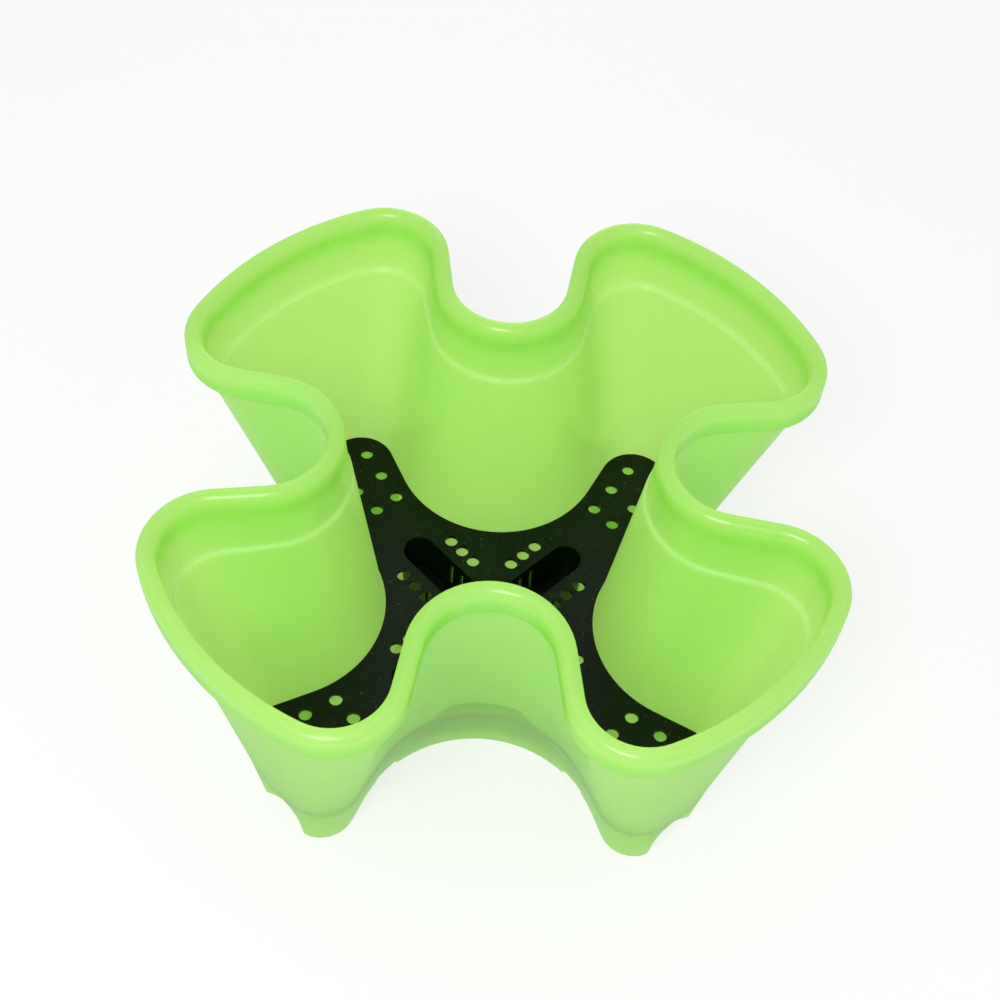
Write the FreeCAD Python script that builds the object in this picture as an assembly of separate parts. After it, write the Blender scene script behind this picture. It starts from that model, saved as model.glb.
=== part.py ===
import FreeCAD
import Part
import math
import os

# Stackable planter tier: a four-lobed moulded pot with a drop-in perforated grid.
# Millimetres. The origin is on the ground under the middle of the pot and Z is up.
# The lobes point along the diagonals, the four round notches along X and Y.

# Heights of the pot
pot_height = 190.5
collar_height = 15.0
inner_band_height = 34.0
notch_crease_height = 54.5
tip_crease_height = 40.0
floor_underside = 13.0
floor_thickness = 2.5
raised_floor_underside = 39.8
raised_floor_thickness = 2.5

# Outline of the rim: lobe tip arc, corners and notches
rim_reach = 175.0
rim_tip_radius = 151.5
rim_tip_angle = 20.7
rim_corner_radius = 33.2
rim_notch_centre = 110.2
rim_notch_radius = 29.2

# Outline of the wall where the skirt starts in the notches
waist_reach = 150.4
waist_tip_radius = 91.7
waist_tip_angle = 13.0
waist_corner_radius = 22.2
waist_notch_centre = 114.1
waist_notch_radius = 53.9

# Outline of the wall where the skirt starts at the lobe tips
hem_reach = 148.1
hem_tip_radius = 85.4
hem_tip_angle = 12.4
hem_corner_radius = 21.4
hem_notch_centre = 114.5
hem_notch_radius = 56.5

# Outline of the skirt at the ground, where each lobe tip is hollowed by a shallow bite
base_reach = 143.6
base_tip_radius = 64.0
base_tip_angle = 12.4
base_corner_radius = 17.6
base_notch_centre = 115.3
base_notch_radius = 65.2
base_bite_angle = 6.6
base_bite_depth = 6.5

# Walls and lip
wall = 2.4
lip_width = 8.0
lip_round = 3.7
lip_flat = 0.5
flange_skin = 2.4
flange_groove_depth = 9.0
wall_lag = 5.3
band_wall = 2.1
band_ledge = 1.3

# Underside
riser_reach = 102.0
seat_notch_start = 79.0
seat_notch_end = 95.0
seat_notch_height = 6.0
seat_notch_span = 48.0
overflow_bore = 8.0
overflow_wall = 2.0
overflow_height = 9.0

# Grid
grid_thickness = 2.4
grid_clearance = 0.5
seat_gap = 0.2
hole_diameter = 7.0
arm_hole_reach = 94.0
arm_hole_pitch = 17.2
arm_hole_offset = 14.3
arm_hole_flare = 3.5
pocket_hole_reach = 32.4
pocket_hole_pitch = 9.0
pocket_hole_offset = 17.5
pocket_inner_centre = 20.0
pocket_outer_centre = 57.0
pocket_half_width = 8.8
pocket_draft = 1.2
pocket_wall = 1.8
pocket_floor_gap = 0.5
slit_count = 2
slit_reach = 31.5
slit_pitch = 8.0
slit_width = 2.0
slit_foot = 6.0

LOBES = 4
FAR = 250.0
MARGIN = 1.0
TOUCH = 0.01


def vec(x, y, z=0.0):
    return FreeCAD.Vector(x, y, z)


def turned(shape, lobe):
    """Copy of a shape made along +X, turned to the diagonal of one lobe."""
    copy = shape.copy()
    copy.rotate(vec(0, 0), vec(0, 0, 1), 45.0 + 90.0 * lobe)
    return copy


class Outline:
    """Closed outline of four lobes: tip arc, corners, straight sides and notch arcs.

    A bite hollows the tip: it trims the corners by an angle and sets the middle back by a depth.
    """

    def __init__(self, reach, tip_radius, tip_angle, corner_radius, notch_centre, notch_radius,
                 bite_angle=0.0, bite_depth=0.0):
        self.reach = reach
        self.tip_radius = tip_radius
        self.tip_angle = tip_angle
        self.corner_radius = corner_radius
        self.notch_centre = notch_centre
        self.notch_radius = notch_radius
        self.bite_angle = bite_angle
        self.bite_depth = bite_depth

    def inset(self, depth):
        """The parallel outline, moved into the pot."""
        return Outline(self.reach - depth, self.tip_radius - depth, self.tip_angle,
                       self.corner_radius - depth, self.notch_centre, self.notch_radius + depth,
                       self.bite_angle, self.bite_depth)

    def towards(self, other, share):
        """The outline part of the way to another one."""
        def mix(a, b):
            return a + (b - a) * share
        return Outline(mix(self.reach, other.reach), mix(self.tip_radius, other.tip_radius),
                       mix(self.tip_angle, other.tip_angle),
                       mix(self.corner_radius, other.corner_radius),
                       mix(self.notch_centre, other.notch_centre),
                       mix(self.notch_radius, other.notch_radius),
                       mix(self.bite_angle, other.bite_angle),
                       mix(self.bite_depth, other.bite_depth))

    def half_lobe(self):
        """Points from the lobe tip to the middle of the notch, on a lobe along +X."""
        angle = math.radians(self.tip_angle)
        out = vec(math.cos(angle), math.sin(angle))
        tip_centre = vec(self.reach - self.tip_radius, 0)
        corner = tip_centre + out * (self.tip_radius - self.corner_radius)
        notch = vec(self.notch_centre, self.notch_centre) * math.sqrt(0.5)
        span = notch - corner
        lean = math.acos((self.corner_radius + self.notch_radius) / span.Length)
        side = math.atan2(span.y, span.x) - lean
        normal = vec(math.cos(side), math.sin(side))
        start = angle + math.radians(self.bite_angle)
        edge = vec(math.cos(start), math.sin(start))
        middle = (start + side) / 2.0
        bulge = vec(math.cos(middle), math.sin(middle))
        return {
            "tip": vec(self.reach - self.bite_depth, 0),
            "corner_start": corner + edge * self.corner_radius,
            "corner_middle": corner + bulge * self.corner_radius,
            "corner_end": corner + normal * self.corner_radius,
            "side_end": notch - normal * self.notch_radius,
            "notch_middle": notch * (1.0 - self.notch_radius / notch.Length),
        }

    def wire(self, z):
        """The closed wire at one height."""
        half = self.half_lobe()

        def place(name, lobe, mirrored=False):
            point = half[name]
            side = -point.y if mirrored else point.y
            angle = math.radians(45.0 + 90.0 * lobe)
            return vec(point.x * math.cos(angle) - side * math.sin(angle),
                       point.x * math.sin(angle) + side * math.cos(angle), z)

        edges = []
        for lobe in range(LOBES):
            after = lobe + 1
            near_end, near_start = place("corner_end", lobe, True), place("corner_start", lobe, True)
            far_start, far_end = place("corner_start", lobe), place("corner_end", lobe)
            side, next_side = place("side_end", lobe), place("side_end", after, True)
            edges += [
                Part.Arc(near_end, place("corner_middle", lobe, True), near_start).toShape(),
                Part.Arc(near_start, place("tip", lobe), far_start).toShape(),
                Part.Arc(far_start, place("corner_middle", lobe), far_end).toShape(),
                Part.LineSegment(far_end, side).toShape(),
                Part.Arc(side, place("notch_middle", lobe), next_side).toShape(),
                Part.LineSegment(next_side, place("corner_end", after, True)).toShape(),
            ]
        return Part.Wire(edges)


def prism(outline, low, high):
    """Straight solid of one outline between two heights."""
    return Part.Face(outline.wire(low)).extrude(vec(0, 0, high - low))


def taper(low_outline, low, high_outline, high):
    """Ruled solid between two outlines."""
    return Part.makeLoft([low_outline.wire(low), high_outline.wire(high)], True, True)


# Outlines of the outer wall at its main heights
rim = Outline(rim_reach, rim_tip_radius, rim_tip_angle, rim_corner_radius,
              rim_notch_centre, rim_notch_radius)
waist = Outline(waist_reach, waist_tip_radius, waist_tip_angle, waist_corner_radius,
                waist_notch_centre, waist_notch_radius)
hem = Outline(hem_reach, hem_tip_radius, hem_tip_angle, hem_corner_radius,
              hem_notch_centre, hem_notch_radius)
base = Outline(base_reach, base_tip_radius, base_tip_angle, base_corner_radius,
               base_notch_centre, base_notch_radius, base_bite_angle, base_bite_depth)
collar_z = pot_height - collar_height
band_z = pot_height - inner_band_height
lip_z = pot_height - lip_round - lip_flat
floor_top = floor_underside + floor_thickness
raised_floor_top = raised_floor_underside + raised_floor_thickness
collar_line = rim.inset(wall_lag)
wall_levels = [(0.0, base), (tip_crease_height, hem), (notch_crease_height, waist), (collar_z, collar_line)]


def outer_at(z):
    """Outer outline of the wall or the skirt at one height."""
    for (low, below), (high, above) in zip(wall_levels, wall_levels[1:]):
        if z <= high:
            return below.towards(above, (z - low) / (high - low))
    return collar_line


def stack(levels):
    """Solid through a list of (height, outline), straight between one and the next."""
    solid = taper(levels[0][1], levels[0][0], levels[1][1], levels[1][0])
    for (low, below), (high, above) in zip(levels[1:], levels[2:]):
        solid = solid.fuse(taper(below, low, above, high))
    return solid


def make_rim():
    """Lip with a rounded top over an outer flange that hangs clear of the wall."""
    ring = prism(rim, collar_z, pot_height)
    ring = ring.cut(prism(rim.inset(lip_width), lip_z, pot_height + MARGIN))
    top_edges = []
    for edge in ring.Edges:
        if edge.BoundBox.ZMin > pot_height - TOUCH:
            top_edges.append(edge)
    ring = ring.makeFillet(lip_round, top_edges)
    groove_top = collar_z + flange_groove_depth
    groove = prism(rim.inset(flange_skin), collar_z - MARGIN, groove_top)
    return ring.cut(groove.cut(prism(collar_line, collar_z - 2 * MARGIN, groove_top + MARGIN)))


def make_cavity():
    """Soil space above the grid, with a ledge below the lip, and the reservoir under it."""
    band = outer_at(band_z).inset(band_wall)
    levels = [(floor_top, outer_at(floor_top).inset(wall)),
              (tip_crease_height, outer_at(tip_crease_height).inset(wall)),
              (notch_crease_height, outer_at(notch_crease_height).inset(wall)),
              (band_z, band.inset(band_ledge))]
    cavity = stack(levels).fuse(taper(band, band_z, rim.inset(lip_width), lip_z))
    return cavity.cut(make_raised_tips())


def make_body():
    """Wall and skirt in one with the rim, hollowed from above."""
    return stack(wall_levels).fuse(make_rim()).cut(make_cavity())


def make_raised_tips():
    """Blocks that lift the floor at the lobe tips, out past the riser."""
    blocks = []
    for lobe in range(LOBES):
        block = Part.makeBox(FAR, FAR, raised_floor_top, vec(riser_reach, -FAR / 2))
        blocks.append(turned(block, lobe))
    return Part.makeCompound(blocks)


def cut_underside(shell):
    """Hollow below the floors, leaving the skirt, then its seat notches."""
    skirt_inner = taper(base.inset(wall), 0, outer_at(raised_floor_underside).inset(wall),
                        raised_floor_underside)
    tips = []
    for lobe in range(LOBES):
        box = Part.makeBox(FAR, FAR, FAR, vec(riser_reach + wall, -FAR / 2, -MARGIN))
        tips.append(turned(box, lobe))
    under_tips = skirt_inner.common(Part.makeCompound(tips))
    low_box = Part.makeBox(2 * FAR, 2 * FAR, floor_underside + MARGIN, vec(-FAR, -FAR, -MARGIN))
    under_floor = skirt_inner.common(low_box)
    shell = shell.cut(under_tips).cut(under_floor)
    for lobe in range(LOBES):
        for side in (-1, 1):
            shell = shell.cut(turned(seat_cutter(side), lobe))
    return shell


def seat_cutter(side):
    """Notch in the skirt beside a lobe, where the rim of the tier below passes."""
    length = seat_notch_end - seat_notch_start
    low = 0.0 if side > 0 else -seat_notch_span
    corner = vec(seat_notch_start, low, -MARGIN)
    return Part.makeBox(length, seat_notch_span, seat_notch_height + MARGIN, corner)


def make_overflow():
    """Standpipe in the middle of the floor."""
    outside = overflow_bore / 2.0 + overflow_wall
    pipe = Part.makeCylinder(outside, overflow_height + floor_thickness, vec(0, 0, floor_underside))
    bore = Part.makeCylinder(overflow_bore / 2.0, pot_height, vec(0, 0, -MARGIN))
    return pipe, bore


def make_pot():
    pipe, bore = make_overflow()
    pot = cut_underside(make_body()).fuse(pipe).cut(bore)
    return pot.removeSplitter()


def pocket_wire(half_width, z):
    """Long slot outline on a lobe along +X."""
    near = pocket_inner_centre
    far = pocket_outer_centre
    edges = [
        Part.LineSegment(vec(near, -half_width, z), vec(far, -half_width, z)).toShape(),
        Part.Arc(vec(far, -half_width, z), vec(far + half_width, 0, z), vec(far, half_width, z)).toShape(),
        Part.LineSegment(vec(far, half_width, z), vec(near, half_width, z)).toShape(),
        Part.Arc(vec(near, half_width, z), vec(near - half_width, 0, z), vec(near, -half_width, z)).toShape(),
    ]
    return Part.Wire(edges)


def pocket_solid(grow, low, high):
    """Tapered slot solid, grown outward by a wall thickness."""
    wires = [pocket_wire(pocket_half_width - pocket_draft + grow, low),
             pocket_wire(pocket_half_width + grow, high)]
    return Part.makeLoft(wires, True, True)


def grid_holes():
    """Places of the round holes of one arm, as reach and offset from its middle line."""
    places = []
    for row in range(3):
        reach = arm_hole_reach + row * arm_hole_pitch
        offset = arm_hole_offset + row * arm_hole_flare
        places += [(reach, -offset), (reach, 0.0), (reach, offset)]
        pocket_reach = pocket_hole_reach + row * pocket_hole_pitch
        places += [(pocket_reach, -pocket_hole_offset), (pocket_reach, pocket_hole_offset)]
    return places


def slit_cutters(low, high):
    """Upright slits through both side walls of one pocket."""
    span = 4 * pocket_half_width
    cutters = []
    for place in range(slit_count):
        reach = slit_reach + place * slit_pitch
        corner = vec(reach - slit_width / 2, -span / 2, low)
        cutters.append(Part.makeBox(slit_width, span, high - low, corner))
    return cutters


def make_grid():
    bottom = raised_floor_top + seat_gap
    top = bottom + grid_thickness
    margin = wall + grid_clearance
    plate = taper(outer_at(bottom).inset(margin), bottom, outer_at(top).inset(margin), top)
    pocket_low = floor_top + pocket_floor_gap
    for lobe in range(LOBES):
        plate = plate.fuse(turned(pocket_solid(pocket_wall, pocket_low, bottom + TOUCH), lobe))
    for lobe in range(LOBES):
        plate = plate.cut(turned(pocket_solid(0, pocket_low + pocket_wall, top), lobe))
        for cutter in slit_cutters(pocket_low + slit_foot, bottom - slit_width):
            plate = plate.cut(turned(cutter, lobe))
        for reach, offset in grid_holes():
            hole = Part.makeCylinder(hole_diameter / 2.0, 3 * grid_thickness,
                                     vec(reach, offset, bottom - grid_thickness))
            plate = plate.cut(turned(hole, lobe))
    return plate.removeSplitter()


os.makedirs("parts", exist_ok=True)
pieces = {"planter_pot": make_pot(), "soil_grid": make_grid()}
for name, shape in pieces.items():
    solids = shape.Solids
    solid = solids[0] if len(solids) == 1 else Part.makeCompound(solids)
    print(name, len(solids), "solid, valid", solid.isValid(), "faces", len(solid.Faces))
    solid.exportStep("parts/" + name + ".step")
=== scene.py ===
import math

import bpy
from mathutils import Matrix, Vector


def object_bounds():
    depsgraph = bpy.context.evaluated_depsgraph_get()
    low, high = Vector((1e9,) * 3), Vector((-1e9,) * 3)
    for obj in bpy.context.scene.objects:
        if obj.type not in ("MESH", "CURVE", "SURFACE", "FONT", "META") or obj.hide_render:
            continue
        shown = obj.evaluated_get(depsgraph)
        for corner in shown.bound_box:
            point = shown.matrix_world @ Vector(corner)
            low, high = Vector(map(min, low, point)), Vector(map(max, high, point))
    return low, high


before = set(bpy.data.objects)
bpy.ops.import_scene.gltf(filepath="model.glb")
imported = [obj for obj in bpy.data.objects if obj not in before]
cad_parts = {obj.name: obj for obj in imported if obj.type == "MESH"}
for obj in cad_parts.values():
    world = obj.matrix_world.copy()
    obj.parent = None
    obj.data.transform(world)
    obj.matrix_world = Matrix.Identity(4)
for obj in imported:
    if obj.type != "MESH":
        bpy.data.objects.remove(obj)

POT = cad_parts["planter_pot"]
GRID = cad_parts["soil_grid"]
CAD_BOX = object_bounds()
HEIGHT = CAD_BOX[1].z

# Camera of the photo: its tilt down, its roll and its turn round the pot
TILT = math.radians(53.17)
ROLL = math.radians(4.35)
TURN = math.radians(1.03)
LENS_MM = 56.02
SENSOR_MM = 36.0
# Middle of the rim as that camera sees it: metres to the right, down and ahead
RIM_CENTRE_SEEN = Vector((0.00073, -0.02452, 0.72079))

# Lights and floor, and the share of plain white in what the camera sees of the floor
WORLD_STRENGTH = 0.72
LIGHTS_AIM = (0, 0, 0.1)
FLOOR_SIZE = 12.0
FLOOR_WHITE = 0.65

# Skirt: heights of the edge of its painted shade at the lobes and in the notches, and the softness of
# that edge
SKIRT_AT_LOBES = 0.0395
SKIRT_AT_NOTCHES = 0.058
SKIRT_EDGE_SOFT = 0.0006
# Hem: the painted shade in the notches, which fades out this far below the edge of the skirt
HEM_DEPTH = 0.026
# A wave round the pot is 1 in the notches and -1 at the lobe tips: where a notch starts and is full
LOBES = 4
NOTCH_STARTS = -0.5
NOTCH_FULL = 0.6
# Collar: heights between which the painted shade of its inner face comes in
COLLAR_LOW = HEIGHT - 0.035
COLLAR_HIGH = HEIGHT - 0.0205
# Inner ledge: height of its edge, and how far above and below that the painted highlight reaches
LEDGE_HEIGHT = HEIGHT - 0.0345
LEDGE_SOFT = 0.0030
# Middle of a lobe in x and in y, and the highest value of facing_out on faces that count as level
LOBE_MIDDLE = 0.045
LEVEL_FACE = 0.004
# Radius by which the edges of the pot look rounded
EDGE_ROUNDING = 0.0022

# How much of each tint is mixed in where its mask is full
FLOW_SHARE = 0.35
DARK_PATCH_SHARE = 0.25
COLLAR_SHARE = 0.7
GLINT_SHARE = 0.8
SKIRT_SHARE = 0.8
HEM_SHARE = 0.8
DUST_SHARE = 0.8
# Share of light that passes through the wall, and how much less passes through the skirt
THROUGH_SHARE = 0.7
SKIRT_LOSS = 0.06

LIME = (0.445, 0.845, 0.22, 1.0)
LIME_FLOW = (0.40, 0.79, 0.17, 1.0)
# Darker patches at random places on the pot
LIME_DARK_PATCH = (0.20, 0.52, 0.06, 1.0)
# Painted shade on the inner face of the collar, under the rolled rim
LIME_COLLAR_PAINTED_SHADE = (0.34, 0.76, 0.12, 1.0)
# Painted highlight along the rounded edge of the inner ledge
LIME_PAINTED_HIGHLIGHT = (0.72, 1.0, 0.50, 1.0)
# Painted shade on the skirt, below where the grid keeps the light inside from the wall
LIME_SKIRT_PAINTED_SHADE = (0.40, 0.82, 0.06, 1.0)
# Painted shade along the top of the skirt in the notches, on the surface and in the light through the
# wall
LIME_HEM_PAINTED_SHADE = (0.34, 0.66, 0.10, 1.0)
LIME_GLOW = (0.82, 1.0, 0.505, 1.0)
BLACK = (0.001, 0.007, 0.001, 1.0)
DUST = (0.20, 0.22, 0.19, 1.0)
FLOOR_COLOUR = (0.93, 0.93, 0.93, 1.0)
WHITE = (1.0, 1.0, 1.0, 1.0)

# Colour sockets of Blender's Mix node, which share their names with its number sockets
MIX_FIRST = 6
MIX_SECOND = 7
MIX_RESULT = 2


class Nodes:
    """Short helper for building one material from nodes."""

    def __init__(self, name):
        self.material = bpy.data.materials.new(name)
        self.material.use_nodes = True
        self.tree = self.material.node_tree
        self.shader = self.tree.nodes["Principled BSDF"]

    def add(self, kind, **values):
        """A new node, with settings and inputs by name; an underscore stands for a space."""
        node = self.tree.nodes.new(kind)
        for key, value in values.items():
            if hasattr(node, key):
                setattr(node, key, value)
            else:
                node.inputs[key.replace("_", " ")].default_value = value
        return node

    def link(self, source, target):
        self.tree.links.new(source, target)

    def put(self, value, target):
        """Links an output to an input, or writes a number or colour into it."""
        if hasattr(value, "is_linked"):
            self.link(value, target)
        else:
            target.default_value = value

    def set(self, **values):
        """Numbers and colours on the main shader's own inputs."""
        for key, value in values.items():
            self.shader.inputs[key.replace("_", " ")].default_value = value

    def place(self):
        """Position on the object, in metres."""
        return self.add("ShaderNodeTexCoord").outputs["Object"]

    def parts(self, place):
        """The X, Y and Z of a position."""
        split = self.add("ShaderNodeSeparateXYZ")
        self.link(place, split.inputs[0])
        return split.outputs

    def calc(self, operation, *values):
        """One step of arithmetic on outputs or numbers."""
        step = self.add("ShaderNodeMath", operation=operation)
        for number, value in enumerate(values):
            self.put(value, step.inputs[number])
        return step.outputs[0]

    def vector(self, operation, *values):
        """One step of vector arithmetic; a dot product gives a number."""
        step = self.add("ShaderNodeVectorMath", operation=operation)
        for number, value in enumerate(values):
            self.put(value, step.inputs[number])
        return step.outputs["Value" if operation == "DOT_PRODUCT" else "Vector"]

    def ramp(self, value, low, high, bottom=0.0, top=1.0, kind="LINEAR"):
        """Goes from bottom to top while a value goes from low to high, and stays there beyond them."""
        levels = {"From_Min": low, "From_Max": high, "To_Min": bottom, "To_Max": top}
        step = self.add("ShaderNodeMapRange", interpolation_type=kind, **levels)
        self.link(value, step.inputs["Value"])
        return step.outputs["Result"]

    def noise(self, place, scale, detail, low, high):
        """Noise cut to a 0 to 1 mask between two levels."""
        noise = self.add("ShaderNodeTexNoise", Scale=scale, Detail=detail)
        self.link(place, noise.inputs["Vector"])
        return self.ramp(noise.outputs["Fac"], low, high)

    def mix(self, share, first, second):
        """Colour between two colours or outputs."""
        mix = self.add("ShaderNodeMix", data_type="RGBA")
        self.put(share, mix.inputs["Factor"])
        self.put(first, mix.inputs[MIX_FIRST])
        self.put(second, mix.inputs[MIX_SECOND])
        return mix.outputs[MIX_RESULT]

    def tint(self, colour, mask, share, second):
        """A colour with a share of a second one where a mask is full."""
        return self.mix(self.calc("MULTIPLY", mask, share), colour, second)

    def bump(self, height, strength, distance, rounding=0.0):
        """Relief from a height mask, over edges that look rounded by a radius."""
        bump = self.add("ShaderNodeBump", Strength=strength, Distance=distance)
        self.link(height, bump.inputs["Height"])
        if rounding:
            edges = self.add("ShaderNodeBevel", Radius=rounding)
            self.link(edges.outputs["Normal"], bump.inputs["Normal"])
        self.link(bump.outputs["Normal"], self.shader.inputs["Normal"])

    def blend(self, share, other):
        """Puts another shader in place of a share of the main one."""
        blend = self.add("ShaderNodeMixShader")
        self.put(share, blend.inputs[0])
        self.link(self.shader.outputs[0], blend.inputs[1])
        self.link(other.outputs[0], blend.inputs[2])
        self.link(blend.outputs[0], self.tree.nodes["Material Output"].inputs["Surface"])


def facing_out(nodes, place):
    """Above zero on faces that look away from the middle of their lobe, zero on level faces."""
    side = nodes.vector("SIGN", place)
    middle = nodes.vector("MULTIPLY", side, (LOBE_MIDDLE, LOBE_MIDDLE, 0.0))
    flat = nodes.vector("MULTIPLY", place, (1.0, 1.0, 0.0))
    normal = nodes.add("ShaderNodeTexCoord").outputs["Normal"]
    return nodes.vector("DOT_PRODUCT", nodes.vector("SUBTRACT", flat, middle), normal)


def skirt_shade(nodes, place, outward):
    """Masks of the painted shade on the skirt, where the light inside the pot doesn't reach, and of the
    painted shade of its hem in the notches.
    """
    x, y, height = nodes.parts(place)
    angle = nodes.calc("ARCTAN2", y, x)
    wave = nodes.calc("COSINE", nodes.calc("MULTIPLY", angle, LOBES))
    edge = nodes.ramp(wave, NOTCH_STARTS, NOTCH_FULL, SKIRT_AT_LOBES, SKIRT_AT_NOTCHES, "SMOOTHSTEP")
    depth = nodes.calc("SUBTRACT", edge, height)
    below = nodes.ramp(depth, 0.0, SKIRT_EDGE_SOFT)
    shaded_skirt = nodes.calc("MULTIPLY", below, nodes.calc("GREATER_THAN", outward, 0.0))
    near = nodes.ramp(depth, HEM_DEPTH, 0.0)
    notch = nodes.ramp(edge, SKIRT_AT_LOBES, SKIRT_AT_NOTCHES)
    hem_shade = nodes.calc("MULTIPLY", nodes.calc("MULTIPLY", shaded_skirt, near), notch)
    return shaded_skirt, hem_shade


def collar_shade(nodes, place, outward):
    """Mask of painted shade on the inner face of the collar, darker than the wall below, where the rolled
    rim keeps the light off it.
    """
    above = nodes.ramp(nodes.parts(place)["Z"], COLLAR_LOW, COLLAR_HIGH, kind="SMOOTHSTEP")
    return nodes.calc("MULTIPLY", above, nodes.calc("LESS_THAN", outward, 0.0))


def ledge_glint(nodes, place, outward):
    """Mask of a painted highlight along the rounded edge of the inner ledge, all the way round."""
    off = nodes.calc("ABSOLUTE", nodes.calc("SUBTRACT", nodes.parts(place)["Z"], LEDGE_HEIGHT))
    near = nodes.ramp(off, LEDGE_SOFT, 0.0, kind="SMOOTHSTEP")
    return nodes.calc("MULTIPLY", near, nodes.calc("LESS_THAN", outward, LEVEL_FACE))


def lime_plastic():
    """Glossy lime polypropylene with faint flow marks, a few darker patches at random, painted shade on
    the collar, skirt and hem, and a painted highlight on the inner ledge.
    """
    nodes = Nodes("lime_plastic")
    place = nodes.place()
    outward = facing_out(nodes, place)
    shaded_skirt, hem_shade = skirt_shade(nodes, place, outward)
    flow = nodes.noise(place, scale=9.0, detail=2.0, low=0.35, high=0.75)
    dark_patches = nodes.noise(place, scale=30.0, detail=4.0, low=0.62, high=0.78)
    # Flow marks and darker patches, then painted shade on the collar, a painted highlight on the ledge,
    # and painted shade on the skirt and its hem
    tints = (
        (flow, FLOW_SHARE, LIME_FLOW),
        (dark_patches, DARK_PATCH_SHARE, LIME_DARK_PATCH),
        (collar_shade(nodes, place, outward), COLLAR_SHARE, LIME_COLLAR_PAINTED_SHADE),
        (ledge_glint(nodes, place, outward), GLINT_SHARE, LIME_PAINTED_HIGHLIGHT),
        (shaded_skirt, SKIRT_SHARE, LIME_SKIRT_PAINTED_SHADE),
        (hem_shade, HEM_SHARE, LIME_HEM_PAINTED_SHADE),
    )
    colour = LIME
    for mask, share, second in tints:
        colour = nodes.tint(colour, mask, share, second)
    nodes.link(colour, nodes.shader.inputs["Base Color"])
    nodes.set(Roughness=0.27, IOR=1.49, Specular_IOR_Level=1.0)
    nodes.set(Coat_Weight=1.0, Coat_Roughness=0.2)
    glow = nodes.add("ShaderNodeBsdfTranslucent")
    # The light through the wall also takes the painted shade of the hem
    nodes.link(nodes.tint(LIME_GLOW, hem_shade, HEM_SHARE, LIME_HEM_PAINTED_SHADE), glow.inputs["Color"])
    nodes.blend(nodes.calc("MULTIPLY_ADD", shaded_skirt, -SKIRT_LOSS, THROUGH_SHARE), glow)
    ripple = nodes.noise(place, scale=60.0, detail=2.0, low=0.3, high=0.7)
    nodes.bump(ripple, strength=0.06, distance=0.0006, rounding=EDGE_ROUNDING)
    return nodes.material


def black_plastic():
    """Satin black polypropylene with a green cast, a fine grain and specks of dust."""
    nodes = Nodes("black_plastic")
    place = nodes.place()
    dust = nodes.noise(place, scale=900.0, detail=1.0, low=0.74, high=0.80)
    nodes.link(nodes.tint(BLACK, dust, DUST_SHARE, DUST), nodes.shader.inputs["Base Color"])
    nodes.set(Roughness=0.3, Specular_IOR_Level=0.2)
    grain = nodes.noise(place, scale=400.0, detail=3.0, low=0.3, high=0.7)
    nodes.bump(grain, strength=0.10, distance=0.0003)
    return nodes.material


def floor_white():
    """Matt white, which the camera and reflections see with a share of plain white in it."""
    nodes = Nodes("floor_white")
    nodes.set(Base_Color=FLOOR_COLOUR, Roughness=0.9)
    rays = nodes.add("ShaderNodeLightPath").outputs
    seen = rays["Is Camera Ray"]
    for kind in ("Is Glossy Ray", "Is Transmission Ray"):
        seen = nodes.calc("MAXIMUM", seen, rays[kind])
    nodes.blend(nodes.calc("MULTIPLY", seen, FLOOR_WHITE), nodes.add("ShaderNodeEmission"))
    return nodes.material


def paint(obj, material):
    """Gives an object its only material."""
    obj.data.materials.clear()
    obj.data.materials.append(material)


def seamless_floor():
    """White floor that carries the pot's soft shadow."""
    bpy.ops.mesh.primitive_plane_add(size=FLOOR_SIZE, location=(0, 0, 0))
    floor = bpy.context.object
    floor.name = "floor"
    paint(floor, floor_white())


def area_light(name, place, aim, size, watts):
    """Round soft light that looks from its place to the point that it is aimed at."""
    data = bpy.data.lights.new(name, "AREA")
    data.shape = "DISK"
    data.size = size
    data.energy = watts
    light = bpy.data.objects.new(name, data)
    bpy.context.scene.collection.objects.link(light)
    light.location = place
    light.rotation_mode = "QUATERNION"
    light.rotation_quaternion = (Vector(aim) - Vector(place)).to_track_quat("-Z", "Y")


def studio():
    """White surround, a soft box above the front and a low one behind, whose light passes the walls."""
    world = bpy.data.worlds.new("studio")
    world.use_nodes = True
    background = world.node_tree.nodes["Background"]
    background.inputs["Color"].default_value = WHITE
    background.inputs["Strength"].default_value = WORLD_STRENGTH
    bpy.context.scene.world = world
    area_light("key", place=(-0.17, -0.65, 1.0), aim=LIGHTS_AIM, size=0.37, watts=6.5)
    area_light("back", place=(0.0, 1.6, 0.5), aim=LIGHTS_AIM, size=0.8, watts=2.4)


def photo_camera():
    """Camera placed so that the pot is seen as in the photo."""
    turn = Matrix.Rotation(TURN, 3, "Z")
    quarter_turn = math.pi / 2
    tilt = Matrix.Rotation(quarter_turn + TILT, 3, "X")
    roll = Matrix.Rotation(ROLL, 3, "Z")
    # Turns places in the scene into metres right, down and ahead of the lens
    seen = roll @ tilt @ turn
    right, down, ahead = seen
    axes = Matrix((right, -down, -ahead)).transposed()
    rim_centre = Vector((0, 0, HEIGHT))
    place = rim_centre - seen.transposed() @ RIM_CENTRE_SEEN
    data = bpy.data.cameras.new("camera")
    data.lens = LENS_MM
    data.sensor_width = SENSOR_MM
    camera = bpy.data.objects.new("camera", data)
    bpy.context.scene.collection.objects.link(camera)
    camera.matrix_world = Matrix.Translation(place) @ axes.to_4x4()
    bpy.context.scene.camera = camera


paint(POT, lime_plastic())
paint(GRID, black_plastic())
seamless_floor()
studio()
photo_camera()
bpy.context.scene.view_settings.view_transform = "Standard"
